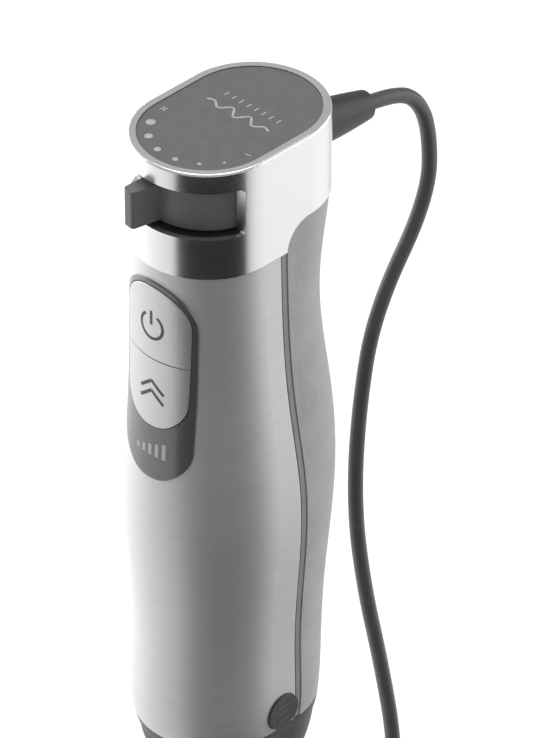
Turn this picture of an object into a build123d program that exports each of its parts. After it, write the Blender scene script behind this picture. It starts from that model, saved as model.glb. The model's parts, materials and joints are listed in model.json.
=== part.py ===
from build123d import *
import math
import os

# Hand blender: motor handle with a detachable blending leg, standing on the rim of its bell.
# Millimetres, +Z up. The origin is on the drive axis, in the plane of the bell's rim.
# The buttons and the speed lever face -Y, the mains cord leaves towards +Y.
# Most heights on the handle are given as a depth below the top plate's rim.

# ---- driving dimensions -------------------------------------------------------------------
TOTAL_HEIGHT = 412.0
HANDLE_LENGTH = 248.0
COLLAR_PLATE = 5.0            # thickness of the ring that closes the handle's lower end

CAP_R = 27.0                  # the cap's two half rounds
CAP_OFFSET = 10.8             # distance of each half round's centre from the axis
CAP_WALL = 2.0
CAP_FRONT_DEPTH = 42.4
CAP_BACK_DEPTH = 31.9
CAP_STEP_Y = 0.2              # where the cap's lower edge turns up
CAP_STEP_REACH = 11.9         # how far back it has climbed to its rear height
CAP_RIM = 3.0
PLATE_THICKNESS = 1.5
PLATE_RECESS = 0.35

WINDOW_TOP = 7.7
WINDOW_BOTTOM = 26.4
WINDOW_END_Y = -18.7          # flat ends of the window, which face forwards
WINDOW_CORNER = 1.5
WINDOW_JAMB_R = 22.95         # the cap is thicker at the window's ends, down to this radius
DIAL_R = 22.4
DIAL_TOP = 8.3
DIAL_BOTTOM = 25.6
DIAL_WALL = 2.0
LEVER_REACH = 33.5
LEVER_TOP = 10.4
LEVER_BOTTOM = 25.2
LEVER_REST_ANGLE = -8.0
LEVER_ROOT_HALF = 3.6
LEVER_TIP_HALF = 2.5

# depth, half-round radius, front centre offset, back centre offset of the grip's sections
BODY_SECTIONS = [
    (30.0, 26.7, 10.6, 10.2),
    (46.0, 26.8, 10.5, 8.0),
    (68.0, 27.1, 10.3, 4.9),
    (98.0, 28.5, 9.4, 5.9),
    (137.0, 31.2, 8.8, 7.1),
    (178.0, 29.8, 9.2, 6.0),
    (212.0, 28.4, 9.5, 4.7),
    (248.0, 27.2, 9.2, 3.7),
]
SHELL_SHEET = 1.0             # stainless sheet
SKIN = 2.2                    # everything outside the inner housing
HOUSING_WALL = 2.0
EDGE_GAP = 0.35               # shadow gap under the cap

# depth and y of the side seam between the metal front and the soft back
SEAM = [(20, -2.7), (42, -2.4), (81, -1.7), (110, -0.3), (143, 2.6), (165, 3.3), (209, 2.9), (250, 1.9)]
SEAM_GAP = 0.8
STRIP_WIDTH = 2.1
STRIP_SINK = 0.35
GRIP_GROOVE = 0.4

# the button surround and the buttons narrow a little from top to bottom
POD_HALVES = (17.0, 15.8)
POD_TOP = 48.2
POD_BOTTOM = 129.0
POD_PROUD = 0.6
BUTTON_HALVES = (15.2, 13.8)
BUTTON_TOP = 50.2
BUTTON_SPLIT = 80.0
BUTTON_BOTTOM = 107.5
BUTTON_GAP = 0.3
BUTTON_PROUD = 0.8
BUTTON_THICK = 1.7            # leaves 1.3 behind the buttons for their 1.2 of travel
BUTTON_SPRING = 10.4
BOARD_Y = -24.0

RELEASE_R = 7.0
RELEASE_DEPTH = 235.5
RELEASE_Y = -4.5
RELEASE_PROUD = 1.0
RELEASE_INNER_X = 21.6
RELEASE_GAP = 0.2

SHAFT_R = 3.0
RUNNING_GAP = 0.05
STATOR_R = 24.0
STATOR_BORE = 15.0
ARMATURE_R = 14.4
FAN_R = 20.0
FAN_BLADES = 9
HEX_FLAT = 8.0                # across flats of the drive dog
HEX_GAP = 0.15

SPIGOT_R = 17.0
SPIGOT_GAP = 0.2
SPIGOT_LENGTH = 30.0
LEG_R = 12.5
LEG_WALL = 1.2
BELL_R = 33.0
BELL_WALL = 1.5
BELL_HEIGHT = 50.0
BELL_NOTCHES = 4
BLADE_R = 24.0
BLADE_Z = 18.0
BLADE_SHEET = 1.6
BLADE_TILT = 9.0

CORD_R = 2.8
GUARD_ROOT = (33.5, 21.4)     # y and depth of the guard's axis inside the cap
GUARD_TIP = (65.7, 26.2)
COIL_R = 31.0                 # middle of the coil's bundle of turns
COIL_WRAPS = 3                # turns side by side in each of its two layers
COIL_CENTRE = (22.6, 136.0)
COIL_HEIGHT = 11.6
TIE_THICK = 0.8
PLUG_WIDTH = 36.0
PLUG_HEIGHT = 26.0
PLUG_PIN_R = 2.4
PLUG_PIN_LENGTH = 19.0
PLUG_PIN_SPACING = 19.0

LANE_R = COIL_R + 2 * CORD_R * (COIL_WRAPS - 1) / 2     # outermost turn of the coil
LANE_X = COIL_CENTRE[0] - LANE_R
JOINT_Z = TOTAL_HEIGHT - HANDLE_LENGTH

# route of the hanging cord: x, y, z of the points whose corners the cord rounds off
CORD_ROUTE = [
    (0, GUARD_TIP[0], TOTAL_HEIGHT - GUARD_TIP[1]),
    (0, 77.3, 384.1),
    (0, 90.5, 378.0),
    (0, 98.6, 362.0),
    (0, 99.2, 332.0),
    (0, 71.6, 296.0),
    (0, 63.9, 257.0),
    (0, 61.9, 216.0),
    (0, 67.6, 176.0),
    (0, 77.0, 136.0),
    (0, 84.5, 96.0),
    (-3, 87.5, 62.0),
    (-8, 92.5, 35.0),
    (-12, 102.0, 14.5),
    (LANE_X, 118.0, 4.2),
    (LANE_X, COIL_CENTRE[1], 2.9),
]
# route of the short tail from the coil to the plug, which lies beside the bell
TAIL_X = COIL_CENTRE[0] + LANE_R
TAIL_ROUTE = [
    (TAIL_X, COIL_CENTRE[1], 8.6),
    (TAIL_X, 116.0, 9.4),
    (TAIL_X + 1, 96.0, 12.2),
    (TAIL_X + 1, 78.0, PLUG_HEIGHT / 2),
]

os.makedirs("parts", exist_ok=True)


# ---- small helpers ------------------------------------------------------------------------
def z(depth):
    """Height above the origin of a depth below the handle's top."""
    return TOTAL_HEIGHT - depth


def save(shape, node):
    export_step(shape, f"parts/{node}.step")


def oval(r, front, back, height):
    """Flat face: half round in front, half round behind, straight sides."""
    outline = Wire([
        ThreePointArc((-r, -front, height), (0, -front - r, height), (r, -front, height)),
        Line((r, -front, height), (r, back, height)),
        ThreePointArc((r, back, height), (0, back + r, height), (-r, back, height)),
        Line((-r, back, height), (-r, -front, height)),
    ])
    return Face(outline)


def prism(face, top, bottom):
    """Upright prism of a face drawn at height 0, between two depths."""
    return Pos(0, 0, z(bottom)) * extrude(face, bottom - top, dir=(0, 0, 1))


def body(inset):
    """The handle's outer form, drawn in by an inset."""
    return loft([oval(r - inset, f, b, z(d)) for d, r, f, b in BODY_SECTIONS])


def rod(r, top_z, bottom_z, x=0.0, y=0.0):
    """Upright cylinder between two heights."""
    return Pos(x, y, (top_z + bottom_z) / 2) * Cylinder(r, top_z - bottom_z)


def tube(outer, inner, top_z, bottom_z, x=0.0, y=0.0):
    """Upright ring or tube between two heights."""
    return rod(outer, top_z, bottom_z, x, y) - rod(inner, top_z + 1, bottom_z - 1, x, y)


def block(x0, x1, y0, y1, z0, z1):
    """Box between two corners."""
    return Pos((x0 + x1) / 2, (y0 + y1) / 2, (z0 + z1) / 2) * Box(x1 - x0, y1 - y0, z1 - z0)


def beside_seam(shift, side):
    """Everything in front of (side -1) or behind (side 1) the seam line moved by a shift."""
    points = [(0, y + shift, z(d)) for d, y in SEAM]
    far = 70 * side
    seam = Spline(points)
    rest = Polyline(points[-1], (0, far, points[-1][2]), (0, far, points[0][2]), points[0])
    return extrude(Face(Wire([seam] + list(rest.edges()))), 60, dir=(1, 0, 0), both=True)


def above_cap_edge(gap):
    """Everything above the cap's stepped lower edge, lowered by a gap."""
    low = z(CAP_FRONT_DEPTH) - gap
    high = z(CAP_BACK_DEPTH) - gap
    corner = CAP_STEP_Y + gap
    end = corner + CAP_STEP_REACH
    share = math.sin(math.pi / 4)
    middle = (corner + CAP_STEP_REACH * (1 - share), low + (high - low) * share)
    edges = [
        Line((0, -70, low), (0, corner, low)),
        ThreePointArc((0, corner, low), (0, middle[0], middle[1]), (0, end, high)),
        Line((0, end, high), (0, 70, high)),
        Line((0, 70, high), (0, 70, z(-20))),
        Line((0, 70, z(-20)), (0, -70, z(-20))),
        Line((0, -70, z(-20)), (0, -70, low)),
    ]
    return extrude(Face(Wire(edges)), 60, dir=(1, 0, 0), both=True)


def front_slot(halves, top, bottom):
    """Round-ended prism along Y through the handle's front, half as wide as given at both depths."""
    wide, narrow = halves
    high = z(top)
    low = z(bottom)
    face = make_face(Polyline((-wide, high), (wide, high), (narrow, low), (-narrow, low), (-wide, high)))
    corners = face.vertices().sort_by(Axis.Y)
    face = fillet(corners[2:], wide * 0.97)
    corners = face.vertices().sort_by(Axis.Y)
    face = fillet(corners[:2], narrow * 0.97)
    upright = Plane(origin=(0, -6, 0), x_dir=(1, 0, 0), z_dir=(0, -1, 0))
    return extrude(upright * face, 60)


def cord_path(route, name):
    """Straight runs joined by tangent arcs that are as large as the runs allow."""
    points = [Vector(*p) for p in route]
    runs = [(b - a).length for a, b in zip(points, points[1:])]
    radii = []
    for i in range(1, len(points) - 1):
        turn = (points[i] - points[i - 1]).get_angle(points[i + 1] - points[i])
        radii.append(0.45 * min(runs[i - 1], runs[i]) / math.tan(math.radians(turn / 2)))
    print(name, "bend radii", [round(r, 1) for r in radii])
    return FilletPolyline(*route, radius=radii)


def cord_tube(route, name):
    path = cord_path(route, name)
    start = Plane(origin=path @ 0, z_dir=path % 0)
    solid = sweep(start * Circle(CORD_R), path=path)
    print(name, "length", round(path.length, 1), "volume", round(solid.volume / (
        math.pi * CORD_R ** 2 * path.length), 4))
    return solid


# ---- cord guard, cord, coil and plug ----------------------------------------------------------
guard_start = Vector(0, GUARD_ROOT[0], z(GUARD_ROOT[1]))
guard_end = Vector(0, GUARD_TIP[0], z(GUARD_TIP[1]))
guard_axis = (guard_end - guard_start).normalized()


def guard_section(share, half_width, half_height):
    origin = guard_start + (guard_end - guard_start) * share
    return Plane(origin=origin, x_dir=(1, 0, 0), z_dir=guard_axis) * Ellipse(half_width, half_height)


cord_guard = loft([
    guard_section(0, 7.2, 8.8),
    guard_section(0.35, 6.9, 8.2),
    guard_section(0.7, 6.2, 6.9),
    guard_section(1, 5.2, 5.4),
])
save(cord_guard, "cord_guard")
save(cord_tube(CORD_ROUTE, "power_cord"), "power_cord")
save(cord_tube(TAIL_ROUTE, "cord_tail"), "cord_tail")

bundle_half = COIL_WRAPS * CORD_R
bundle = Pos(COIL_R, COIL_HEIGHT / 2) * RectangleRounded(2 * bundle_half, COIL_HEIGHT - 0.2, CORD_R - 0.1)
cord_coil = revolve(Plane.XZ * bundle, Axis.Z)
save(Pos(COIL_CENTRE[0], COIL_CENTRE[1], 0) * cord_coil, "cord_coil")

tie_outer = RectangleRounded(2 * (bundle_half + TIE_THICK), COIL_HEIGHT + TIE_THICK, CORD_R + 0.5)
tie_inner = Pos(0, TIE_THICK / 4) * RectangleRounded(2 * bundle_half, COIL_HEIGHT - 0.4, CORD_R - 0.2)
tie = extrude(Plane.XZ * (tie_outer - tie_inner), 7, both=True)
tie_z = (COIL_HEIGHT + TIE_THICK) / 2
tie_place = Pos(COIL_CENTRE[0], COIL_CENTRE[1], 0) * Rot(0, 0, 90) * Pos(COIL_R, 0, tie_z)
save(tie_place * tie, "cord_tie")

plug_back = Vector(*TAIL_ROUTE[-1])
plug_plane = Plane(origin=plug_back, x_dir=(1, 0, 0), z_dir=(0, -1, 0))
plug_body = loft([
    plug_plane * Circle(4.2),
    plug_plane.offset(12) * Ellipse(8.0, 6.5),
    plug_plane.offset(26) * Ellipse(15.0, 10.5),
])
plug_body += extrude(plug_plane.offset(26) * RectangleRounded(PLUG_WIDTH, PLUG_HEIGHT, 9.0), 20)
save(plug_body, "plug_body")
for side, name in ((-1, "left"), (1, "right")):
    centre = plug_plane.offset(46) * Pos(side * PLUG_PIN_SPACING / 2, 0)
    save(extrude(centre * Circle(PLUG_PIN_R), PLUG_PIN_LENGTH), f"plug_pin_{name}")

# ---- top cap, plate and speed dial --------------------------------------------------------------
cap_outline = oval(CAP_R, CAP_OFFSET, CAP_OFFSET, 0)
cap = prism(cap_outline, 0, CAP_FRONT_DEPTH + 2)
cap = fillet(cap.edges().group_by(Axis.Z)[-1], 0.9)
cap = cap & above_cap_edge(0)
cap -= prism(oval(CAP_R - CAP_RIM, CAP_OFFSET, CAP_OFFSET, 0), -5, PLATE_RECESS + PLATE_THICKNESS)
cap -= prism(oval(CAP_R - CAP_WALL, CAP_OFFSET, CAP_OFFSET, 0), 3.6, CAP_FRONT_DEPTH + 9)
jamb_high = z(WINDOW_TOP - CAP_WALL)
jamb_low = z(WINDOW_BOTTOM + 0.1)
jambs = tube(CAP_R - 0.5, WINDOW_JAMB_R, jamb_high, jamb_low, 0, -CAP_OFFSET)
cap += jambs & block(-CAP_R, CAP_R, WINDOW_END_Y, WINDOW_END_Y + 5, jamb_low, jamb_high)
window = block(-40, 40, -60, WINDOW_END_Y, z(WINDOW_BOTTOM), z(WINDOW_TOP))
window = fillet(window.edges().filter_by(Axis.X).sort_by(Axis.Y)[2:], WINDOW_CORNER)
window -= rod(WINDOW_JAMB_R, z(0), z(40), 0, -CAP_OFFSET)
cap = cap - window - cord_guard
save(cap, "top_cap")

plate = prism(oval(CAP_R - CAP_RIM - 0.15, CAP_OFFSET, CAP_OFFSET, 0), PLATE_RECESS,
              PLATE_RECESS + PLATE_THICKNESS)
save(plate, "top_plate")

dial = rod(DIAL_R, z(DIAL_TOP), z(DIAL_BOTTOM), 0, -CAP_OFFSET)
dial -= rod(DIAL_R - DIAL_WALL, z(DIAL_TOP + DIAL_WALL), z(DIAL_BOTTOM + 1), 0, -CAP_OFFSET)
dial += rod(SHAFT_R + 2.5, z(DIAL_TOP + 1), z(DIAL_BOTTOM), 0, -CAP_OFFSET)
dial -= rod(SHAFT_R, z(DIAL_TOP + 3), z(DIAL_BOTTOM + 1), 0, -CAP_OFFSET)
lever_face = make_face(Polyline(
    (-LEVER_ROOT_HALF, -DIAL_R + 1),
    (-LEVER_TIP_HALF - 0.4, -DIAL_R - 5),
    (-LEVER_TIP_HALF, -LEVER_REACH),
    (LEVER_TIP_HALF, -LEVER_REACH),
    (LEVER_TIP_HALF + 0.4, -DIAL_R - 5),
    (LEVER_ROOT_HALF, -DIAL_R + 1),
    (-LEVER_ROOT_HALF, -DIAL_R + 1),
))
lever = prism(lever_face.face(), LEVER_TOP, LEVER_BOTTOM)
tip_edges = lever.edges().filter_by(Axis.Z).sort_by(Axis.Y)[:2]
lever = fillet(tip_edges, 1.4)
dial += Pos(0, -CAP_OFFSET, 0) * Rot(0, 0, LEVER_REST_ANGLE) * lever
save(dial, "speed_dial")
save(rod(SHAFT_R, z(DIAL_TOP + 3), z(37), 0, -CAP_OFFSET), "dial_shaft")

tray = prism(oval(CAP_R - CAP_WALL - 0.1, CAP_OFFSET, CAP_OFFSET, 0), 26.6, 29.0)
tray -= rod(SHAFT_R + 0.6, z(20), z(35), 0, -CAP_OFFSET)
tray -= block(-9, 9, 20, 40, z(32), z(24))
save(tray, "dial_tray")
pot_body = block(-8, 8, -CAP_OFFSET - 8, -CAP_OFFSET + 8, z(37), z(29))
save(pot_body - rod(SHAFT_R + RUNNING_GAP, z(28), z(38), 0, -CAP_OFFSET), "speed_sensor")
save(prism(oval(18, 8, 8, 0), 37, 38.6), "speed_board")
save(block(-8, 8, 22, GUARD_ROOT[0] - 1.6, z(34), z(16)), "cord_clamp")

# ---- handle skins and housing ------------------------------------------------------------------
outer = body(0)
sheet_inner = body(SHELL_SHEET)
housing_outer = body(SKIN)
housing_inner = body(SKIN + HOUSING_WALL)
skin_zone = block(-60, 60, -60, 60, JOINT_Z + COLLAR_PLATE, z(0)) - above_cap_edge(EDGE_GAP)
pod_slot = front_slot(POD_HALVES, POD_TOP, POD_BOTTOM)
button_form = front_slot(BUTTON_HALVES, BUTTON_TOP, BUTTON_BOTTOM)
button_slot = front_slot([half + BUTTON_GAP for half in BUTTON_HALVES], BUTTON_TOP - BUTTON_GAP,
                         BUTTON_BOTTOM + BUTTON_GAP)
inner_slot = front_slot([half - 2 for half in BUTTON_HALVES], BUTTON_TOP + 3, BUTTON_BOTTOM - 3)
release_axis = Plane(origin=(0, RELEASE_Y, z(RELEASE_DEPTH)), x_dir=(0, 1, 0), z_dir=(1, 0, 0))
release_hole = extrude(release_axis * Circle(RELEASE_R + RELEASE_GAP), 60, both=True)

front_zone = skin_zone & beside_seam(-SEAM_GAP / 2, -1)
save((outer - sheet_inner) & front_zone - pod_slot - release_hole, "metal_shell")
save((sheet_inner - housing_outer) & front_zone - pod_slot - release_hole, "shell_liner")

grip_zone = skin_zone & beside_seam(SEAM_GAP / 2 + STRIP_WIDTH + GRIP_GROOVE, 1)
save((outer - housing_outer) & grip_zone, "back_grip")

strip_zone = skin_zone & beside_seam(SEAM_GAP / 2, 1) & beside_seam(SEAM_GAP / 2 + STRIP_WIDTH, -1)
strips = (body(STRIP_SINK) - housing_outer) & strip_zone
save(strips & block(-60, 0, -60, 60, 0, z(0)), "seam_strip_left")
save(strips & block(0, 60, -60, 60, 0, z(0)), "seam_strip_right")

housing = (housing_outer - housing_inner) & block(-60, 60, -60, 60, JOINT_Z + COLLAR_PLATE, z(30))
housing -= release_hole
split = SEAM_GAP / 2 + STRIP_WIDTH / 2
save((housing & beside_seam(split, -1)) - inner_slot, "front_housing")
cord_notch = block(-8.4, 8.4, 22, 60, z(34.4), z(20))
save((housing & beside_seam(split, 1)) - cord_notch, "back_housing")

# ---- button pod, buttons, switches ---------------------------------------------------------------
pod = (body(-POD_PROUD) - housing_outer) & pod_slot
save(pod - button_slot, "button_bezel")

button_plate = body(-BUTTON_PROUD) - body(BUTTON_THICK - BUTTON_PROUD)
split_half = BUTTON_GAP / 2
button_zones = {
    "power": button_form & block(-60, 60, -90, 0, z(BUTTON_SPLIT - split_half), z(0)),
    "turbo": button_form & block(-60, 60, -90, 0, 0, z(BUTTON_SPLIT + split_half)),
}
switch_depths = {"power": 68.0, "turbo": 94.0}
for name, zone in button_zones.items():
    depth = switch_depths[name]
    button_axis = Plane(origin=(0, BOARD_Y - 7.5, z(depth)), x_dir=(1, 0, 0), z_dir=(0, -1, 0))
    stem = extrude(button_axis * Circle(2.4), 8.0)
    button = (button_plate & zone) + (stem & body(-BUTTON_PROUD / 2))
    save(button, f"{name}_button")
    coil_start = Plane(origin=(0, BOARD_Y - 1.6, z(depth)), x_dir=(1, 0, 0), z_dir=(0, -1, 0))
    spring = extrude(coil_start * (Circle(5.2) - Circle(4.4)), BUTTON_SPRING)
    save(spring, f"{name}_spring")
    switch = block(-3.2, 3.2, BOARD_Y - 5.4, BOARD_Y - 1.6, z(depth + 3), z(depth - 3))
    save(switch, f"{name}_switch")
save(block(-13, 13, BOARD_Y - 1.6, BOARD_Y, z(112), z(52)), "switch_board")

# ---- motor --------------------------------------------------------------------------------------
shaft_top = z(108)
upper_bar = z(112)
stator_top = z(134)
stator_low = z(164)
lower_disc = z(192)
stator = tube(STATOR_R, STATOR_BORE, stator_top, stator_low)
for side in (-1, 1):
    stator -= block(side * 19 - 2, side * 19 + 2, -40, 40, 0, 999) & block(-40, 40, 12, 40, 0, 999)
save(stator, "motor_stator")
windings = tube(21, 15.6, stator_top + 8, stator_top) + tube(21, 15.6, stator_low, stator_low - 8)
save(windings, "motor_windings")
upper = tube(STATOR_R, STATOR_R - 1.6, upper_bar, stator_top)
upper += block(-STATOR_R + 0.5, STATOR_R - 0.5, -8, 8, upper_bar - 4, upper_bar) & rod(STATOR_R, 999, 0)
upper -= rod(7, 999, 0)
save(upper, "motor_bracket_upper")
lower = tube(STATOR_R, STATOR_R - 1.6, stator_low, lower_disc) + rod(STATOR_R, lower_disc, lower_disc - 5)
save(lower - rod(8, lower_disc + 1, lower_disc - 9), "motor_bracket_lower")
save(tube(7, SHAFT_R + RUNNING_GAP, upper_bar, upper_bar - 5), "upper_bearing")
save(tube(8, SHAFT_R + RUNNING_GAP, lower_disc, lower_disc - 6), "lower_bearing")
for side, name in ((-1, "left"), (1, "right")):
    near = 9.15
    brush = block(min(side * near, side * 17), max(side * near, side * 17), -3, 3,
                  upper_bar - 12, upper_bar - 4)
    save(brush, f"carbon_brush_{name}")

socket_top = z(202)
socket_low = JOINT_Z + 22
save(rod(SHAFT_R, shaft_top, socket_top - 6), "motor_shaft")
save(tube(ARMATURE_R, SHAFT_R, stator_top + 2, stator_low - 2), "armature")
save(tube(9, SHAFT_R, upper_bar - 5.2, upper_bar - 13), "commutator")
fan_top = z(176)
fan = tube(6, SHAFT_R, fan_top, fan_top - 10) + tube(FAN_R, 6, fan_top - 8.6, fan_top - 10)
for i in range(FAN_BLADES):
    blade_angle = 360 * i / FAN_BLADES
    fan += Rot(0, 0, blade_angle) * block(5.5, FAN_R, -0.6, 0.6, fan_top - 9, fan_top)
save(fan, "cooling_fan")
hex_hole = RegularPolygon((HEX_FLAT / 2 + HEX_GAP), 6, major_radius=False)
drive_socket = rod(8, socket_top, socket_low) - rod(SHAFT_R, socket_top + 1, socket_top - 6)
drive_socket -= Pos(0, 0, socket_low - 1) * extrude(hex_hole, 14)
save(drive_socket, "drive_socket")

# ---- handle's lower collar and release buttons ------------------------------------------------------
collar = outer & block(-60, 60, -60, 60, JOINT_Z, JOINT_Z + COLLAR_PLATE)
socket_bore = SPIGOT_R + SPIGOT_GAP
collar += rod(socket_bore + 2, JOINT_Z + SPIGOT_LENGTH + 3, JOINT_Z)
save(collar - rod(socket_bore, JOINT_Z + SPIGOT_LENGTH + 4, JOINT_Z - 1), "socket_collar")
for side, name in ((-1, "left"), (1, "right")):
    pad_axis = Plane(origin=(side * RELEASE_INNER_X, RELEASE_Y, z(RELEASE_DEPTH)),
                     x_dir=(0, 1, 0), z_dir=(side, 0, 0))
    pad = extrude(pad_axis * Circle(RELEASE_R), 20) & body(-RELEASE_PROUD)
    save(pad, f"release_button_{name}")
    spring_axis = Plane(origin=(side * 19.3, RELEASE_Y, z(RELEASE_DEPTH)),
                        x_dir=(0, 1, 0), z_dir=(side, 0, 0))
    spring = extrude(spring_axis * (Circle(4.0) - Circle(3.2)), RELEASE_INNER_X - 19.3)
    save(spring, f"release_spring_{name}")

# ---- blending leg -------------------------------------------------------------------------------
shoulder_low = 120.0
last = BODY_SECTIONS[-1]
shoulder = loft([
    oval(last[1] - 0.6, last[2], last[3], JOINT_Z - 0.4),
    oval(last[1] - 1.6, last[2] * 0.85, last[3] * 0.8, JOINT_Z - 10),
    oval(21.0, 3.6, 2.2, JOINT_Z - 24),
    oval(16.2, 1.0, 0.6, shoulder_low + 8),
    oval(LEG_R + 1.8, 0.3, 0.2, shoulder_low),
])
spigot_top = JOINT_Z + SPIGOT_LENGTH
leg_collar = shoulder + rod(SPIGOT_R, spigot_top, JOINT_Z - 6)
leg_collar -= rod(SPIGOT_R - 2.2, spigot_top + 1, JOINT_Z)
leg_collar -= rod(LEG_R, JOINT_Z - 14, shoulder_low - 1)
leg_collar -= rod(6, JOINT_Z + 1, JOINT_Z - 15)
save(leg_collar, "leg_collar")
save(tube(LEG_R, LEG_R - LEG_WALL, JOINT_Z - 14, BELL_HEIGHT), "leg_tube")
save(tube(6, SHAFT_R + RUNNING_GAP, JOINT_Z, JOINT_Z - 12), "upper_bush")
save(tube(LEG_R - LEG_WALL, SHAFT_R + RUNNING_GAP, BELL_HEIGHT + 14, BELL_HEIGHT + 2), "lower_bush")


def bell_form(inset):
    """Solid bell: short neck, round shoulder, gently flared skirt."""
    neck = LEG_R + 1.6 - inset
    top = BELL_HEIGHT + 4 - inset
    profile = [
        Line((0, top), (neck, top)),
        Line((neck, top), (neck, 44 - inset)),
        Spline([(neck, 44 - inset), (neck + 6.5, 36 - inset), (BELL_R - 3.5 - inset, 24)],
               tangents=[(0, -1), (0.5, -1)]),
        Line((BELL_R - 3.5 - inset, 24), (BELL_R - inset, 0)),
        Line((BELL_R - inset, 0), (0, 0)),
        Line((0, 0), (0, top)),
    ]
    return revolve(Plane.XZ * Face(Wire(profile)), Axis.Z)


bell = bell_form(0) - bell_form(BELL_WALL)
bell -= rod(LEG_R, 99, BELL_HEIGHT) + rod(LEG_R - LEG_WALL - 4, 99, 20)
for i in range(BELL_NOTCHES):
    notch_angle = 45 + 360 * i / BELL_NOTCHES
    notch = extrude(Plane.YZ * (Pos(0, 2.5) * SlotOverall(24, 11)), 60)
    bell -= Rot(0, 0, notch_angle) * notch
save(bell, "bell")

# ---- blade and its shaft ---------------------------------------------------------------------------
save(rod(SHAFT_R, socket_low - 14, BLADE_Z - 6), "blade_shaft")
dog = tube(6.5, SHAFT_R, socket_low - 0.6, JOINT_Z + 1.5)
dog -= rod(SHAFT_R, 999, 0)
dog += rod(6.5, socket_low - 0.6, socket_low - 14)
dog += Pos(0, 0, socket_low - 0.6) * extrude(RegularPolygon(HEX_FLAT / 2, 6, major_radius=False), 12)
save(dog, "drive_dog")
blade = tube(6, SHAFT_R, BLADE_Z + 4, BLADE_Z - 3)
for turn in (0, 180):
    wing = Rot(BLADE_TILT, 0, 0) * block(4.5, BLADE_R, -4.5, 4.5, -BLADE_SHEET / 2, BLADE_SHEET / 2)
    blade += Rot(0, 0, turn) * Pos(0, 0, BLADE_Z) * wing
blade -= rod(SHAFT_R, 99, 0)
save(blade, "blade")
nut = extrude(RegularPolygon(4.5, 6, major_radius=False), 3.0)
save(Pos(0, 0, BLADE_Z - 6) * nut - rod(SHAFT_R, 99, 0), "blade_nut")
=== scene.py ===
import json
import math

import bmesh
import bpy
from mathutils import Matrix, Vector
from mathutils.bvhtree import BVHTree


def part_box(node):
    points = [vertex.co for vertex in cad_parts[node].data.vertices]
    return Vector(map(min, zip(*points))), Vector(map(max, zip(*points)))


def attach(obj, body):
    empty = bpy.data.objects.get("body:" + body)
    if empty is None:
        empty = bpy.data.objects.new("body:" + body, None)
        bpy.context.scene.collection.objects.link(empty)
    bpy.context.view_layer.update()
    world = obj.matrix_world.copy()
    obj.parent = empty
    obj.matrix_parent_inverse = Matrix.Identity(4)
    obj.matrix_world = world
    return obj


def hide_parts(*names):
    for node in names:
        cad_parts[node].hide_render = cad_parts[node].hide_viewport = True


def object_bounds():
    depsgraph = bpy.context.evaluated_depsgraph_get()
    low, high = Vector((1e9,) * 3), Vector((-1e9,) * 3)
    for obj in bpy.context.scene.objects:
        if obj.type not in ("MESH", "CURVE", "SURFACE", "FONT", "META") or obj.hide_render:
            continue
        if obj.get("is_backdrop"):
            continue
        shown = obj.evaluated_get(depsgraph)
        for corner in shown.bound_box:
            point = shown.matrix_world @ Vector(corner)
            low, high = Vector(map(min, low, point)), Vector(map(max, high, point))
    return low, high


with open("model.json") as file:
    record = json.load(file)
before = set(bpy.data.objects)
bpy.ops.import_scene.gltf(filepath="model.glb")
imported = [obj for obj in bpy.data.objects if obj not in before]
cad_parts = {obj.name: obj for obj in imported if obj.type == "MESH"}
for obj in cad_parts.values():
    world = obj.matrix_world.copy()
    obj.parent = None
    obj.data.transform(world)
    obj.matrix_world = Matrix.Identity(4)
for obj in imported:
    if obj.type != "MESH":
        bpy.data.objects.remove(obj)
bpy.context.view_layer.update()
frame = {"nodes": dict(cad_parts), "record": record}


# ---- Floor, light and camera ---------------------------------------------------------------------
# A pale seamless studio table, lit by two soft boxes at the sides and one high behind. A sheet on
# the camera's side, seen only in reflections, paints a dark reflection: the satin metal shows one dark band
# between two bright ones.
def linear(hex_colour):
    """sRGB hex to the linear colour that shaders take."""
    channels = [int(hex_colour[i:i + 2], 16) / 255 for i in (1, 3, 5)]
    return [c / 12.92 if c <= 0.04045 else ((c + 0.055) / 1.055) ** 2.4 for c in channels] + [1.0]


def add(tree, kind, settings=None, links=None):
    """Adds a node, sets its properties or its sockets' values, and links its sockets."""
    made = tree.nodes.new(kind)
    for key, value in (settings or {}).items():
        if isinstance(key, str) and hasattr(made, key):
            setattr(made, key, value)
        else:
            made.inputs[key].default_value = value
    for key, source in (links or {}).items():
        tree.links.new(source, made.inputs[key])
    return made


def shader(name, settings):
    """A material with its one shader; the sections add the nodes that give it its surface."""
    material = bpy.data.materials.new(name)
    material.use_nodes = True
    tree = material.node_tree
    tree.nodes.clear()
    surface = add(tree, "ShaderNodeBsdfPrincipled", settings)
    add(tree, "ShaderNodeOutputMaterial", None, {"Surface": surface.outputs[0]})
    place = add(tree, "ShaderNodeTexCoord").outputs["Object"]
    return material, tree, surface, place


def noise(tree, place, scale, detail=2.0):
    """A cloudy pattern. Its scale is in cycles a metre."""
    pattern = add(tree, "ShaderNodeTexNoise", {"Scale": scale, "Detail": detail}, {"Vector": place})
    return pattern.outputs["Fac"]


def toned(tree, surface, pattern, dark, light, dark_at=0.0, light_at=1.0):
    """Lets a pattern vary a surface's colour between two tones."""
    tone = add(tree, "ShaderNodeValToRGB", None, {"Fac": pattern})
    for stop, position, colour in zip(tone.color_ramp.elements, (dark_at, light_at), (dark, light)):
        stop.position = position
        stop.color = linear(colour)
    tree.links.new(tone.outputs["Color"], surface.inputs["Base Color"])


def placed(name, data):
    """A new object in the scene."""
    made = bpy.data.objects.new(name, data)
    bpy.context.collection.objects.link(made)
    return made


# matte white laminate, very slightly cloudy
table_laminate, tree, surface, place = shader("matte_table_laminate", {"Roughness": 0.55})
toned(tree, surface, noise(tree, place, 1.5), "#f1f1f1", "#f6f6f6")

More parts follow.
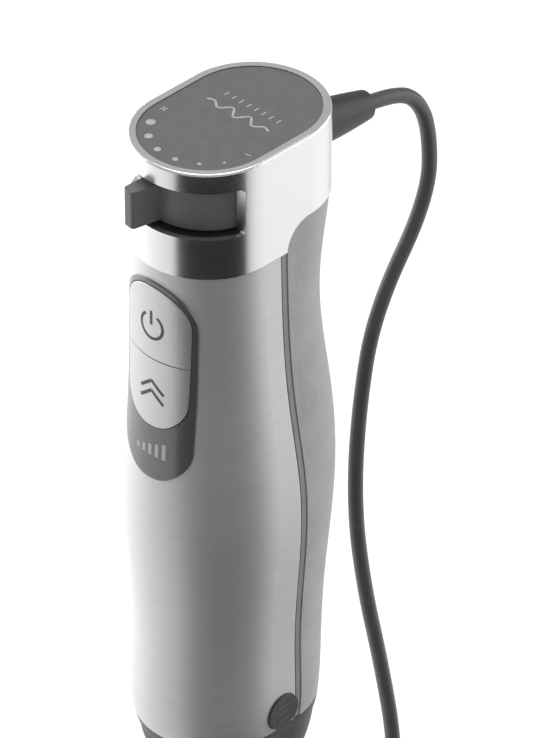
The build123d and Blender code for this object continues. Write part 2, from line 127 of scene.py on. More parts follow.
FLOOR_HALF = 9.0
FLOOR_DROP = 0.0003                       # keeps the table just clear of the bell's rim
floor_mesh = bpy.data.meshes.new("studio_table")
floor_mesh.from_pydata([(-FLOOR_HALF, -FLOOR_HALF, 0), (FLOOR_HALF, -FLOOR_HALF, 0),
                        (FLOOR_HALF, FLOOR_HALF, 0), (-FLOOR_HALF, FLOOR_HALF, 0)], [], [(0, 1, 2, 3)])
floor_mesh.materials.append(table_laminate)
studio_table = placed("studio_table", floor_mesh)
studio_table.location.z = -FLOOR_DROP
studio_table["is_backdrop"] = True

CAMERA_AZIMUTH = math.radians(44.3)       # from straight in front towards the object's right
CAMERA_ELEVATION = math.radians(35.7)
CAMERA_DISTANCE = 2.5016
CAMERA_LENS = 363.0
CAMERA_SEES = 100                         # metres
AIM_RIGHT = 0.0169                        # where it looks, from the middle of the cap's top
AIM_DOWN = 0.08457
right = Vector((math.cos(CAMERA_AZIMUTH), math.sin(CAMERA_AZIMUTH), 0))
back = Vector((math.sin(CAMERA_AZIMUTH) * math.cos(CAMERA_ELEVATION),
               -math.cos(CAMERA_AZIMUTH) * math.cos(CAMERA_ELEVATION), math.sin(CAMERA_ELEVATION)))
up = back.cross(right)
top_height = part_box("top_cap")[1][2]
camera_data = bpy.data.cameras.new("camera")
camera_data.lens = CAMERA_LENS
camera_data.clip_end = CAMERA_SEES
camera = placed("camera", camera_data)
turn = Matrix((right, up, back)).transposed().to_4x4()
camera.matrix_world = Matrix.Translation(
    Vector((0, 0, top_height)) + right * AIM_RIGHT - up * AIM_DOWN + back * CAMERA_DISTANCE) @ turn
bpy.context.scene.camera = camera
bpy.context.scene.view_settings.view_transform = "Standard"

ROOM_LIGHT = 0.50
world = bpy.data.worlds.new("studio")
world.use_nodes = True
world.node_tree.nodes["Background"].inputs["Color"].default_value = linear("#ffffff")
world.node_tree.nodes["Background"].inputs["Strength"].default_value = ROOM_LIGHT
bpy.context.scene.world = world

# bearing round the object from the camera's side in degrees, distance, height, width, tall, watts
SOFT_BOXES = [
    (-125, 1.0, 0.55, 1.3, 0.9, 10.0),
    (102, 1.0, 0.55, 1.1, 0.9, 4.8),
    (178, 0.5, 2.6, 1.8, 1.8, 25.0),
]
LAMPS_AIM = Vector((0, 0, 0.24))
ground_back = Vector((back.x, back.y, 0)).normalized()
for number, (bearing, distance, height, wide, tall, watts) in enumerate(SOFT_BOXES):
    angle = math.radians(bearing)
    spot = (ground_back * math.cos(angle) + right * math.sin(angle)) * distance + Vector((0, 0, height))
    lamp = bpy.data.lights.new(f"soft_box_{number}", "AREA")
    lamp.shape = "RECTANGLE"
    lamp.size = wide
    lamp.size_y = tall
    lamp.energy = watts
    holder = placed(lamp.name, lamp)
    holder.location = spot
    holder.rotation_euler = (LAMPS_AIM - spot).to_track_quat("-Z", "Y").to_euler()

# painted dark reflection: a sheet painted grey near the object and black further out; only mirror-like
# surfaces see it
FLAG_REACH = (0.05, 0.38, 0.42, 1.4)      # metres from the object
FLAG_LEFT = (-34, -36, -45, -46)          # its edges, as bearings from the camera's side in degrees
FLAG_RIGHT = (118, 105, 60, 56)
FLAG_GREY_TO, FLAG_BLACK_FROM = 0.30, 0.44
FLAG_HEIGHT = 0.0002
FLAG_STEPS = 16
painted_reflection_sheet, tree, surface, place = shader("painted_dark_reflection", {"Roughness": 0.95, "Specular IOR Level": 0.1})
away = add(tree, "ShaderNodeVectorMath", {"operation": "LENGTH"}, {0: place})
# painted reflection: grey near the object, black further out, seen only in the metal's reflections
toned(tree, surface, away.outputs["Value"], "#707071", "#101011", FLAG_GREY_TO, FLAG_BLACK_FROM)
flag_points, flag_faces = [], []
for reach, left_edge, right_edge in zip(FLAG_REACH, FLAG_LEFT, FLAG_RIGHT):
    for step in range(FLAG_STEPS + 1):
        bearing = math.radians(left_edge + (right_edge - left_edge) * step / FLAG_STEPS)
        heading = ground_back * math.cos(bearing) + right * math.sin(bearing)
        flag_points.append((*(heading * reach).xy, FLAG_HEIGHT))
        corner = len(flag_points) - 1
        if step and corner > FLAG_STEPS + 1:
            flag_faces.append((corner - FLAG_STEPS - 2, corner - FLAG_STEPS - 1, corner, corner - 1))
flag_mesh = bpy.data.meshes.new("painted_reflection_flag")
flag_mesh.from_pydata(flag_points, [], flag_faces)
flag_mesh.materials.append(painted_reflection_sheet)
painted_reflection_flag = placed("painted_reflection_flag", flag_mesh)
painted_reflection_flag.visible_camera = False
painted_reflection_flag.visible_diffuse = False
painted_reflection_flag.visible_shadow = False
painted_reflection_flag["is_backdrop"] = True


# ---- Mains cord ----------------------------------------------------------------------------------
# A round two-core flex in dark grey PVC. It leaves the guard at the cap's back, hangs close behind
# the handle, and its spare length is wound into a small coil held by a strap, with the plug beside it.
nodes = frame["nodes"]
CORD_D = 0.0056
HANGING = [                               # from the guard down to the coil's start, in metres
    (0, 0.0657, 0.3858), (0, 0.0773, 0.3841), (0, 0.0905, 0.3780), (0, 0.0986, 0.3620),
    (0, 0.0992, 0.3320), (0, 0.0716, 0.2960), (0, 0.0639, 0.2570), (0, 0.0619, 0.2160),
    (0, 0.0676, 0.1760), (0, 0.0770, 0.1360), (0, 0.0845, 0.0960), (-0.003, 0.0875, 0.0620),
    (-0.008, 0.0925, 0.0350), (-0.012, 0.1020, 0.0145), (-0.014, 0.1180, 0.0042),
]
# from the coil's end to the plug
TAIL = [(0.0592, 0.1160, 0.0094), (0.0602, 0.0960, 0.0122), (0.0602, 0.0780, 0.0130)]
COIL_X, COIL_Y = 0.0226, 0.1360
COIL_OUTER = 0.0366                       # middle of the outermost turn
COIL_LOW, COIL_HIGH = 0.0029, 0.0086
COIL_TURNS = 4.5
TURN_POINTS = 16
INWARD_TURNS = 2.0                        # the lower layer spirals inwards, the upper one outwards
CLIMB_TURNS = 0.5

coil_points = []
for step in range(int(COIL_TURNS * TURN_POINTS) + 1):
    turns = step / TURN_POINTS
    inward = min(turns, INWARD_TURNS)
    outward = max(0.0, turns - INWARD_TURNS - CLIMB_TURNS)
    climb = min(1.0, max(0.0, (turns - INWARD_TURNS) / CLIMB_TURNS))
    radius = COIL_OUTER - CORD_D * inward + CORD_D * outward
    angle = math.pi - 2 * math.pi * turns
    coil_points.append((COIL_X + radius * math.cos(angle), COIL_Y + radius * math.sin(angle),
                        COIL_LOW + (COIL_HIGH - COIL_LOW) * climb))

cord_curve = bpy.data.curves.new("mains_cord", "CURVE")
cord_curve.dimensions = "3D"
cord_curve.bevel_depth = CORD_D / 2
cord_curve.bevel_resolution = 5
cord_curve.resolution_u = 10
cord_curve.use_fill_caps = True
route = cord_curve.splines.new("NURBS")
route_points = HANGING + coil_points + TAIL
route.points.add(len(route_points) - 1)
for point, spot in zip(route.points, route_points):
    point.co = (*spot, 1)
route.order_u = 3
route.use_endpoint_u = True
mains_cord = placed("mains_cord", cord_curve)


def raised(tree, surface, pattern, strength, depth):
    """Lets a pattern raise a surface in a fine relief. The depth is in metres."""
    relief = add(tree, "ShaderNodeBump", {"Strength": strength, "Distance": depth}, {"Height": pattern})
    tree.links.new(relief.outputs["Normal"], surface.inputs["Normal"])


# extruded PVC sheath: dark grey, a soft broad shine, faint cloudy marks from the extruder
cord_pvc, tree, surface, place = shader("extruded_cord_pvc", {"Roughness": 0.42, "IOR": 1.53})
drag = noise(tree, place, 260.0, 3.0)
toned(tree, surface, drag, "#3a3b3c", "#464748")
raised(tree, surface, drag, 0.12, 0.0002)
cord_curve.materials.append(cord_pvc)
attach(mains_cord, "handle")
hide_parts("power_cord", "cord_coil", "cord_tail")


# ---- Cord guard, strap and plug ------------------------------------------------------------------
# The guard is a tapered soft moulding that keeps the cord from kinking at the cap. The strap is woven
# hook tape. The plug is moulded round the cord's end in tough PVC, with two nickel-plated pins.
def glossed(tree, surface, pattern, least, most):
    """Lets a pattern vary a surface's roughness."""
    gloss = add(tree, "ShaderNodeMapRange", {"To Min": least, "To Max": most}, {"Value": pattern})
    tree.links.new(gloss.outputs["Result"], surface.inputs["Roughness"])


def grained(name, dark, light, roughness, grain_mm, depth_mm, sheen=0.0):
    """Moulded plastic or elastomer with a spark-eroded grain of a real size."""
    material, tree, surface, place = shader(name, {"Roughness": roughness, "IOR": 1.5,
                                                   "Sheen Weight": sheen})
    scale = 1000.0 / grain_mm
    grain = add(tree, "ShaderNodeTexVoronoi", {"feature": "SMOOTH_F1", "Scale": scale,
                                               "Smoothness": 0.6}, {"Vector": place})
    wander = noise(tree, place, scale / 14, 4.0)
    mixed = add(tree, "ShaderNodeMath", {"operation": "MULTIPLY_ADD", 1: 0.35},
                {0: grain.outputs["Distance"], 2: wander})
    toned(tree, surface, mixed.outputs["Value"], dark, light, 0.35, 0.85)
    glossed(tree, surface, wander, roughness - 0.05, roughness + 0.07)
    raised(tree, surface, grain.outputs["Distance"], 0.6, depth_mm / 1000)
    return material


def dress(material, *names):
    """Gives CAD pieces their finish."""
    for name in names:
        mesh = nodes[name].data
        mesh.materials.clear()
        mesh.materials.append(material)


# soft near-black elastomer, tough grey PVC, and black nylon tape with a fuzzy pile
guard_rubber = grained("moulded_guard_tpe", "#202121", "#2a2b2b", roughness=0.42, grain_mm=0.5, depth_mm=0.04)
plug_pvc = grained("moulded_plug_pvc", "#3c3d3f", "#4a4b4d", roughness=0.5, grain_mm=0.7, depth_mm=0.06)
strap_weave = grained("woven_hook_tape", "#1b1b1c", "#2c2c2e", roughness=0.85, grain_mm=0.6, depth_mm=0.2,
                      sheen=0.4)
dress(guard_rubber, "cord_guard")
dress(plug_pvc, "plug_body")
dress(strap_weave, "cord_tie")

# bright nickel over brass: slightly warm, fine turning marks round the pins
pin_nickel, tree, surface, place = shader("nickel_plated_brass", {
    "Base Color": linear("#c9c3b4"), "Metallic": 1.0, "Roughness": 0.22})
rings = add(tree, "ShaderNodeMapping", {"Scale": (300.0, 6000.0, 300.0)}, {"Vector": place})
turned = noise(tree, rings.outputs["Vector"], 1.0)
glossed(tree, surface, turned, 0.15, 0.3)
raised(tree, surface, turned, 0.2, 0.00001)
dress(pin_nickel, "plug_pin_left", "plug_pin_right")


# ---- Top cap -------------------------------------------------------------------------------------
# A one-piece cap, die cast in zinc, satin plated, pushed over the housing's neck. Its window shows the
# speed dial, and its lower edge steps up at the sides to meet the soft grip.
bodies = frame["record"]["behaviour"]["bodies"]
body_of = {node: body for body, members in bodies.items() for node in members}
WELD_WITHIN = 2e-6             # metres
SLIVER = 1e-6
FLAT_WITHIN = math.radians(0.4)
SHARP_FROM = math.radians(38)


def finished(node, width_mm, material, segments=3):
    """A copy of a CAD piece with its seams merged and its sharp edges rounded, in the piece's place."""
    mesh = nodes[node].data.copy()
    mesh.name = f"{node}_finished"
    work = bmesh.new()
    work.from_mesh(mesh)
    bmesh.ops.remove_doubles(work, verts=work.verts, dist=WELD_WITHIN)
    bmesh.ops.dissolve_degenerate(work, edges=work.edges, dist=SLIVER)
    bmesh.ops.dissolve_limit(work, angle_limit=FLAT_WITHIN, verts=work.verts, edges=work.edges)
    work.to_mesh(mesh)
    work.free()
    if "custom_normal" in mesh.attributes:
        mesh.attributes.remove(mesh.attributes["custom_normal"])
    mesh.shade_smooth()
    mesh.materials.clear()
    mesh.materials.append(material)
    piece = placed(mesh.name, mesh)
    rounding = piece.modifiers.new("rounded_edges", "BEVEL")
    rounding.width = width_mm / 1000
    rounding.segments = segments
    rounding.limit_method = "ANGLE"
    rounding.angle_limit = SHARP_FROM
    even = piece.modifiers.new("even_shading", "WEIGHTED_NORMAL")
    even.weight = 100
    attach(piece, body_of[node])
    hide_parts(node)


# satin-plated zinc: bright, fine bead-blasted grain under the plating
cap_plating, tree, surface, place = shader("satin_plated_zinc", {
    "Base Color": linear("#e0e0e0"), "Metallic": 1.0, "Roughness": 0.24})
glossed(tree, surface, noise(tree, place, 45.0, 3.0), 0.2, 0.3)
raised(tree, surface, noise(tree, place, 700.0, 3.0), 0.03, 0.00002)
CAP_EDGE_MM = 0.35
finished("top_cap", CAP_EDGE_MM, cap_plating)


# ---- Top plate and speed scale -------------------------------------------------------------------
# A dark grey polycarbonate plate, set a little below the cap's rim. The scale is pad printed in light
# grey: six dots that grow towards the plus sign, round the edge that the lever sweeps.
plate_pc = grained("textured_top_plate", "#5b5c5d", "#646566", roughness=0.42, grain_mm=0.35, depth_mm=0.02)
dress(plate_pc, "top_plate")

# light grey two-part ink, a little uneven in its cover
print_ink, tree, surface, place = shader("pad_printing_ink", {"Roughness": 0.5})
toned(tree, surface, noise(tree, place, 900.0), "#a4a5a6", "#b4b5b6")


def disc(x, y, radius, sides=28):
    """Outline of a printed dot."""
    return [(x + radius * math.cos(2 * math.pi * i / sides), y + radius * math.sin(2 * math.pi * i / sides))
            for i in range(sides)]


def stroke(points, width):
    """Outlines of a line of a given width, one four-sided outline for each step of it."""
    outlines = []
    for (x0, y0), (x1, y1) in zip(points, points[1:]):
        across = Vector((y0 - y1, x1 - x0)).normalized() * width / 2
        outlines.append([(x0 - across.x, y0 - across.y), (x1 - across.x, y1 - across.y),
                         (x1 + across.x, y1 + across.y), (x0 + across.x, y0 + across.y)])
    return outlines


def arc(x, y, radius, start, end, steps):
    """Points along a round line, angles in degrees."""
    return [(x + radius * math.cos(math.radians(start + (end - start) * i / steps)),
             y + radius * math.sin(math.radians(start + (end - start) * i / steps)))
            for i in range(steps + 1)]


def printed(name, outlines, target, heading, material, body, thick=0.00006, sunk=0.00004):
    """Marks that lie on a CAD piece. Outlines are in millimetres, (x, y) on a top face or (x, z) on a
    front one. Every point drops onto the piece, so that each mark is a thin closed slab on its surface."""
    surface_tree = BVHTree.FromPolygons([v.co for v in nodes[target].data.vertices],
                                        [p.vertices for p in nodes[target].data.polygons])
    points, faces = [], []
    for outline in outlines:
        first, count = len(points), len(outline)
        for u, v in outline:
            start = Vector((u / 1000, v / 1000, 1.0)) if heading.z else Vector((u / 1000, -1.0, v / 1000))
            spot = surface_tree.ray_cast(start, heading)[0]
            points += [spot - heading * thick, spot + heading * sunk]
        faces.append([first + 2 * i for i in range(count)])
        faces.append([first + 2 * i + 1 for i in reversed(range(count))])
        for i in range(count):
            after = (i + 1) % count
            faces.append([first + 2 * i, first + 2 * i + 1, first + 2 * after + 1, first + 2 * after])
    mesh = bpy.data.meshes.new(name)
    mesh.from_pydata(points, [], faces)
    work = bmesh.new()
    work.from_mesh(mesh)
    bmesh.ops.recalc_face_normals(work, faces=work.faces)
    work.to_mesh(mesh)
    work.free()
    mesh.materials.append(material)
    piece = placed(name, mesh)
    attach(piece, body)


DIAL_Y = -10.8
SCALE_R = 19.8
DOTS, DOT_STEP = 6, 24.7                  # degrees round the dial's axis
LARGEST_DOT, SMALLEST_DOT = 1.7, 0.55
marks = []
for number in range(DOTS):
    angle = math.radians((number - (DOTS - 1) / 2) * DOT_STEP)
    size = LARGEST_DOT + (SMALLEST_DOT - LARGEST_DOT) * number / (DOTS - 1)
    marks.append(disc(SCALE_R * math.sin(angle), DIAL_Y - SCALE_R * math.cos(angle), size))
# the plus is set on its corner, the minus leans with the plate's edge
SIGN_X, SIGN_Y, SIGN_LINE = 19.9, -11.4, 0.5
PLUS_HALF, MINUS_HALF, MINUS_LEAN = 0.95, 1.2, 0.2
for lean in (1, -1):
    marks += stroke([(-SIGN_X - PLUS_HALF, SIGN_Y - lean * PLUS_HALF),
                     (-SIGN_X + PLUS_HALF, SIGN_Y + lean * PLUS_HALF)], SIGN_LINE)
marks += stroke([(SIGN_X - MINUS_HALF, SIGN_Y - MINUS_LEAN), (SIGN_X + MINUS_HALF, SIGN_Y + MINUS_LEAN)],
                SIGN_LINE)
DOWN, INWARD = Vector((0, 0, -1)), Vector((0, 1, 0))
printed("speed_scale", marks, "top_plate", DOWN, print_ink, "handle")

# a plain ripple for stirred liquid, with a row of bars beside it
RIPPLE_FROM, RIPPLE_TO, RIPPLE_Y = -14.0, 15.0, 3.4
RIPPLE_HIGH, RIPPLE_WAVES, RIPPLE_TAPER, RIPPLE_LINE = 2.0, 3.5, 0.6, 0.85
RIPPLE_STEPS = 70
ripple = []
for step in range(RIPPLE_STEPS + 1):
    share = step / RIPPLE_STEPS
    swell = RIPPLE_HIGH * math.sin(math.pi * share) ** RIPPLE_TAPER
    ripple.append((RIPPLE_FROM + (RIPPLE_TO - RIPPLE_FROM) * share,
                   RIPPLE_Y + swell * math.sin(2 * math.pi * RIPPLE_WAVES * share)))
decoration = stroke(ripple, RIPPLE_LINE)
BARS, BAR_STEP, BAR_TALL, BAR_LINE = 8, 3.5, 2.4, 0.5
BAR_ROW_X, BAR_ROW_Y = 1.0, 10.0
for number in range(BARS):
    bar_x = (number - (BARS - 1) / 2) * BAR_STEP + BAR_ROW_X
    decoration += stroke([(bar_x, BAR_ROW_Y - BAR_TALL / 2), (bar_x, BAR_ROW_Y + BAR_TALL / 2)], BAR_LINE)
printed("ripple_decoration", decoration, "top_plate", DOWN, print_ink, "handle")


# ---- Speed dial and thumb lever ------------------------------------------------------------------
# A dark moulded drum that turns behind the cap's window. The thumb lever is part of the same moulding,
# with well rounded edges.
dial_abs = grained("moulded_dial_abs", "#565759", "#616264", roughness=0.42, grain_mm=0.6, depth_mm=0.03)
DIAL_EDGE_MM = 1.1
finished("speed_dial", DIAL_EDGE_MM, dial_abs, segments=4)


# ---- Front shell ---------------------------------------------------------------------------------
# One sheet of stainless steel, deep drawn round the handle's front and clipped over a plastic carrier.
# It is brushed across the handle, so each highlight is drawn out along the handle's length.
SHELL_LINE_MM = 0.45           # a real brush line is nearer 0.05 mm; drawn coarser so that it shows
STREAK_MM = 16.0               # how long the streaks are


def brushed(name, dark, light, roughness, line_mm, across, anisotropy=0.7, depth=0.00002, contrast=0.05):
    """Brushed steel. Lines run level round the piece, or up it, and pull the highlight across them."""
    material, tree, surface, place = shader(name, {
        "Metallic": 1.0, "Roughness": roughness, "Anisotropic": anisotropy})
    fine = 1000.0 / line_mm
    along = 1000.0 / STREAK_MM
    stretch = (along, along, fine) if across else (fine, fine, along)
    lines = add(tree, "ShaderNodeMapping", {"Scale": stretch}, {"Vector": place})
    scratch = add(tree, "ShaderNodeTexNoise", {"Scale": 1.0, "Detail": 3.0, "Roughness": 0.6},
                  {"Vector": lines.outputs["Vector"]}).outputs["Fac"]
    toned(tree, surface, scratch, dark, light, 0.3, 0.7)
    glossed(tree, surface, scratch, roughness - contrast, roughness + contrast)
    raised(tree, surface, scratch, 0.35, depth)
    tangent = add(tree, "ShaderNodeCombineXYZ", {"Z": 1.0})
    tree.links.new(tangent.outputs["Vector"], surface.inputs["Tangent"])
    return material


shell_steel = brushed("cross_brushed_stainless", "#cbcbcc", "#d5d5d6", roughness=0.58, line_mm=SHELL_LINE_MM,
                      across=True, anisotropy=0.45, depth=0.000008, contrast=0.03)
dress(shell_steel, "metal_shell")


# ---- Back grip and seam strips -------------------------------------------------------------------
# Soft-touch elastomer moulded over the back housing, with a fine leather-like grain. A plain satin strip
# fills each side seam.
grip_tpe = grained("soft_touch_grip_tpe", "#929393", "#a2a3a3", roughness=0.62, grain_mm=0.9, depth_mm=0.14,
                   sheen=0.15)
strip_abs = grained("satin_strip_abs", "#7b7c7d", "#858687", roughness=0.4, grain_mm=0.4, depth_mm=0.02)
dress(grip_tpe, "back_grip")
dress(strip_abs, "seam_strip_left", "seam_strip_right")


# ---- Button surround and buttons -----------------------------------------------------------------
# The surround is pearl dark grey ABS, high gloss lacquered. The two buttons are satin silver caps with
# laser-marked signs: the standby sign on the upper one, a double chevron for the boost on the lower.
# pearl lacquer: metal flakes in a grey base, under a clear coat
pod_lacquer, tree, surface, place = shader("pearl_grey_lacquer", {
    "Metallic": 0.55, "Roughness": 0.3, "Coat Weight": 0.5, "Coat Roughness": 0.12})
toned(tree, surface, noise(tree, place, 1800.0), "#57585a", "#6d6e70")
BEZEL_EDGE_MM = 0.45
finished("button_bezel", BEZEL_EDGE_MM, pod_lacquer)

# silver lacquer: finer flakes, no clear coat, so that it stays satin
silver_lacquer, tree, surface, place = shader("satin_silver_lacquer", {
    "Base Color": linear("#c6c6c7"), "Metallic": 0.85, "Roughness": 0.36})
glossed(tree, surface, noise(tree, place, 2200.0), 0.3, 0.42)
BUTTON_EDGE_MM = 0.55
finished("power_button", BUTTON_EDGE_MM, silver_lacquer)
finished("turbo_button", BUTTON_EDGE_MM, silver_lacquer)

# where the laser has burnt through the silver, the plastic below shows as a dull grey
laser_mark, tree, surface, place = shader("laser_mark_grey", {"Roughness": 0.55})
toned(tree, surface, noise(tree, place, 1200.0), "#3f4042", "#55565a")

TOP_MM = top_height * 1000
POWER_Z = TOP_MM - 66.5
RING_R, RING_LINE = 5.0, 1.15
RING_FROM, RING_TO, RING_STEPS = 122, 418, 40     # degrees, open at the top
STEM_LOW, STEM_ABOVE_RING = 0.6, 1.2
standby = stroke(arc(0, POWER_Z, RING_R, RING_FROM, RING_TO, RING_STEPS), RING_LINE)
standby += stroke([(0, POWER_Z + STEM_LOW), (0, POWER_Z + RING_R + STEM_ABOVE_RING)], RING_LINE)
printed("standby_sign", standby, "power_button", INWARD, laser_mark, "power_button")
BOOST_Z = TOP_MM - 93.0
CHEVRON_RISES = (-2.2, 1.8)                       # the middle of each chevron, from the button's middle
CHEVRON_HALF, CHEVRON_RISE, CHEVRON_LINE = 5.4, 2.2, 1.25
chevrons = []
for rise in CHEVRON_RISES:
    crown = (0, BOOST_Z + rise + CHEVRON_RISE)
    for side in (-1, 1):
        foot = (side * CHEVRON_HALF, BOOST_Z + rise - CHEVRON_RISE)
        halfway = (side * CHEVRON_HALF / 2, BOOST_Z + rise)
        chevrons += stroke([foot, halfway, crown] if side < 0 else [crown, halfway, foot], CHEVRON_LINE)
printed("boost_sign", chevrons, "turbo_button", INWARD, laser_mark, "turbo_button")

# rising bars, printed low on the surround, say that the motor is a strong one
POWER_BARS, POWER_BAR_STEP, POWER_BAR_LINE = 5, 3.0, 1.5
SHORTEST_BAR, BAR_GROWTH = 2.2, 1.0
BARS_FOOT_Z = TOP_MM - 119.5
bars = []
for number in range(POWER_BARS):
    bar_x = (number - (POWER_BARS - 1) / 2) * POWER_BAR_STEP
    bars += stroke([(bar_x, BARS_FOOT_Z), (bar_x, BARS_FOOT_Z + SHORTEST_BAR + BAR_GROWTH * number)],
                   POWER_BAR_LINE)
printed("power_bars", bars, "button_bezel", INWARD, print_ink, "handle")


# ---- Lower collar and release buttons ------------------------------------------------------------
# Dark moulded nylon: the ring that closes the handle, and a press button on each side that frees the
# leg. Each button has three raised ribs across it for the thumb.
collar_nylon = grained("moulded_collar_nylon", "#3b3c3e", "#464749", roughness=0.45, grain_mm=0.6,
                       depth_mm=0.04)
RELEASE_EDGE_MM = 0.5
dress(collar_nylon, "socket_collar")
finished("release_button_left", RELEASE_EDGE_MM, collar_nylon)
finished("release_button_right", RELEASE_EDGE_MM, collar_nylon)


def grown(name, plan, sizes, material, body, replaced=()):
    """Runs a node tree once and keeps its result as a plain mesh. Sizes are the tree's named inputs."""
    tree = bpy.data.node_groups.new(name, "GeometryNodeTree")
    tree.interface.new_socket("Geometry", in_out="OUTPUT", socket_type="NodeSocketGeometry")
    sockets = {}
    for key, value in sizes.items():
        kind = "Vector" if isinstance(value, tuple) else "Int" if isinstance(value, int) else "Float"
        sockets[key] = tree.interface.new_socket(key, in_out="INPUT", socket_type=f"NodeSocket{kind}")
    shape = plan(tree, add(tree, "NodeGroupInput").outputs)
    real = add(tree, "GeometryNodeRealizeInstances", None, {"Geometry": shape})
    coated = add(tree, "GeometryNodeSetMaterial", {"Material": material},
                 {"Geometry": real.outputs["Geometry"]})
    add(tree, "NodeGroupOutput", None, {"Geometry": coated.outputs["Geometry"]})
    seed = placed(f"{name}_seed", bpy.data.meshes.new(f"{name}_seed"))
    growing = seed.modifiers.new("growing", "NODES")
    growing.node_group = tree
    for key, value in sizes.items():
        growing[sockets[key].identifier] = value
    mesh = bpy.data.meshes.new_from_object(seed.evaluated_get(bpy.context.evaluated_depsgraph_get()))
    bpy.data.objects.remove(seed)
    mesh.name = name
    piece = placed(name, mesh)
    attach(piece, body)
    if replaced:
        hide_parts(*replaced)


def rib_plan(tree, sizes):
    """Raised round ribs, one above the other."""
    bar = add(tree, "GeometryNodeCurvePrimitiveLine", None,
              {"Start": sizes["Rib start"], "End": sizes["Rib end"]})
    edge = add(tree, "GeometryNodeCurvePrimitiveCircle", {"Resolution": 12},
               {"Radius": sizes["Rib radius"]})
    rib = add(tree, "GeometryNodeCurveToMesh", {"Fill Caps": True},
              {"Curve": bar.outputs["Curve"], "Profile Curve": edge.outputs["Curve"]})
    spots = add(tree, "GeometryNodeMeshLine", {"mode": "OFFSET"},
                {"Count": sizes["Ribs"], "Start Location": sizes["First rib"], "Offset": sizes["Rib step"]})
    ribs = add(tree, "GeometryNodeInstanceOnPoints", None,
               {"Points": spots.outputs["Mesh"], "Instance": rib.outputs["Mesh"]})
    return ribs.outputs["Instances"]


RIBS, RIB_STEP, RIB_HALF, RIB_R = 3, 0.0028, 0.0034, 0.00055
RIB_SUNK = 0.0003
WALL_LEAN = 0.033                                   # the handle widens upwards here
for side, name in ((-1, "left"), (1, "right")):
    low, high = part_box(f"release_button_{name}")
    outermost = high[0] if side > 0 else low[0]
    middle_y, middle_z = (low[1] + high[1]) / 2, (low[2] + high[2]) / 2
    lean = WALL_LEAN * RIB_STEP
    grown(f"release_ribs_{name}", rib_plan, {
        "Rib start": (0.0, -RIB_HALF, 0.0), "Rib end": (0.0, RIB_HALF, 0.0), "Rib radius": RIB_R,
        "Ribs": RIBS,
        "First rib": (outermost - side * (RIB_SUNK + lean), middle_y, middle_z - RIB_STEP),
        "Rib step": (side * lean, 0.0, RIB_STEP)},
        collar_nylon, f"release_{name}")


# ---- Blending leg --------------------------------------------------------------------------------
# A moulded collar that plugs into the handle, a drawn stainless tube, and a spun stainless bell whose
# rim the blender stands on. Both steels keep fine lines round them from the polishing.
dress(collar_nylon, "leg_collar")
tube_steel = brushed("drawn_tube_stainless", "#bdbdbe", "#cfcfd0", roughness=0.26, line_mm=0.5, across=True)
bell_steel = brushed("spun_bell_stainless", "#bfbfc0", "#cdcdce", roughness=0.22, line_mm=0.4, across=True)
dress(tube_steel, "leg_tube")
dress(bell_steel, "bell")


# ---- Blade and its shaft -------------------------------------------------------------------------
# A stamped blade with two tilted wings on a ground steel shaft, with a nylon drive dog on its top end.
# The motor's shaft and the dial's are of the same ground steel.
blade_steel = brushed("ground_blade_steel", "#c6c6c8", "#d8d8d9", roughness=0.2, line_mm=0.3, across=False)
shaft_steel = brushed("ground_shaft_steel", "#b0b0b2", "#c0c0c2", roughness=0.25, line_mm=0.3, across=True)
dress(blade_steel, "blade")
dress(shaft_steel, "blade_shaft", "blade_nut", "motor_shaft", "dial_shaft")
drive_nylon = grained("glass_filled_nylon", "#242425", "#333335", roughness=0.5, grain_mm=0.5, depth_mm=0.04)
dress(drive_nylon, "drive_dog", "drive_socket", "cooling_fan")


# ---- Inside the handle ---------------------------------------------------------------------------
# Two black housing halves hold the motor, its brackets and bearings, the boards, switches and springs.
# The motor's parts are sheet steel, enamelled copper, bronze and carbon; the boards are green laminate.
housing_abs = grained("black_housing_abs", "#1f2021", "#2c2d2e", roughness=0.5, grain_mm=0.8, depth_mm=0.05)
dress(housing_abs, "front_housing", "back_housing", "shell_liner", "dial_tray", "speed_sensor", "cord_clamp",
      "power_switch", "turbo_switch", "motor_bracket_upper", "motor_bracket_lower")
board_laminate = grained("solder_masked_board", "#12321f", "#1b4a2c", roughness=0.35, grain_mm=1.2,
                         depth_mm=0.02)
dress(board_laminate, "speed_board", "switch_board")
lamination = brushed("stacked_sheet_steel", "#606164", "#8a8b8e", roughness=0.4, line_mm=0.5, across=True)
dress(lamination, "motor_stator", "armature")
copper = brushed("enamelled_copper_wire", "#8a3f1e", "#b9633a", roughness=0.3, line_mm=0.6, across=True)
dress(copper, "motor_windings", "commutator")
bronze = grained("sintered_bronze", "#7a5a2c", "#94703a", roughness=0.45, grain_mm=0.3, depth_mm=0.03)
dress(bronze, "upper_bearing", "lower_bearing", "upper_bush", "lower_bush")
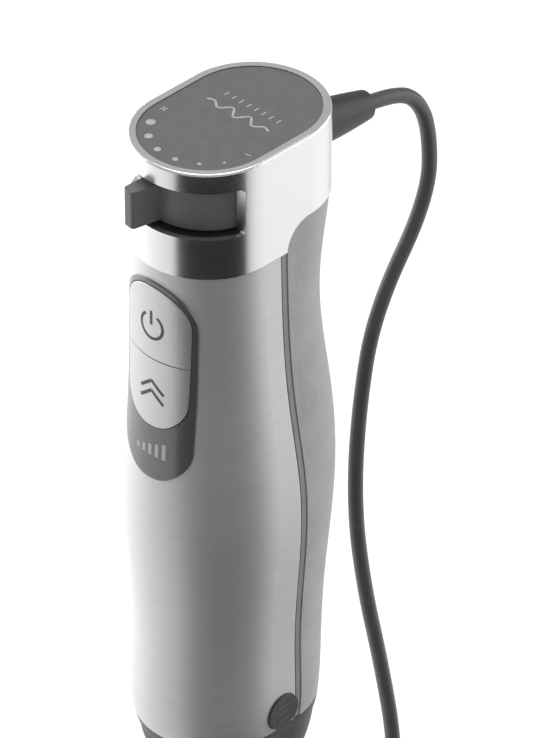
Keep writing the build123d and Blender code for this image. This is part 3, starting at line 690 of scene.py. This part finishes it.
carbon = grained("pressed_carbon", "#17171a", "#222226", roughness=0.6, grain_mm=0.3, depth_mm=0.03)
dress(carbon, "carbon_brush_left", "carbon_brush_right")
spring_wire = brushed("spring_steel_wire", "#9c9c9e", "#b4b4b6", roughness=0.25, line_mm=0.3, across=True)


def spring_plan(tree, sizes):
    """A round wire wound at an even pitch."""
    path = add(tree, "GeometryNodeCurveSpiral", {"Resolution": 28},
               {"Rotations": sizes["Turns"], "Start Radius": sizes["Coil radius"],
                "End Radius": sizes["Coil radius"], "Height": sizes["Length"]})
    edge = add(tree, "GeometryNodeCurvePrimitiveCircle", {"Resolution": 10}, {"Radius": sizes["Wire radius"]})
    wire = add(tree, "GeometryNodeCurveToMesh", {"Fill Caps": True},
               {"Curve": path.outputs["Curve"], "Profile Curve": edge.outputs["Curve"]})
    seated = add(tree, "GeometryNodeTransform", None, {
        "Geometry": wire.outputs["Mesh"], "Rotation": sizes["Direction"], "Translation": sizes["Seat"]})
    return seated.outputs["Geometry"]


WIRE_R = 0.0003
PRESS_ROOM = 0.0013            # a thumb button's travel and a little over
# the spring, its turns, the axis it works along (0 across the handle, 1 into it), how far it stops short
# of its button
for name, turns, along, short in (
        ("power_spring", 6.0, 1, PRESS_ROOM), ("turbo_spring", 6.0, 1, PRESS_ROOM),
        ("release_spring_left", 2.0, 0, 0.0), ("release_spring_right", 2.0, 0, 0.0)):
    low, high = [Vector(corner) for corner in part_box(name)]
    toward_button = -1 if along or name.endswith("left") else 1
    if toward_button > 0:
        high[along] -= short
    else:
        low[along] += short
    seat = (low + high) / 2
    seat[along] = low[along] + WIRE_R
    grown(f"{name}_wire", spring_plan, {
        "Turns": turns, "Coil radius": (high.z - low.z) / 2 - WIRE_R, "Wire radius": WIRE_R,
        "Length": high[along] - low[along] - 2 * WIRE_R,
        "Direction": (-math.pi / 2, 0.0, 0.0) if along else (0.0, math.pi / 2, 0.0), "Seat": tuple(seat)},
        spring_wire, "handle", [name])


low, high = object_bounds()
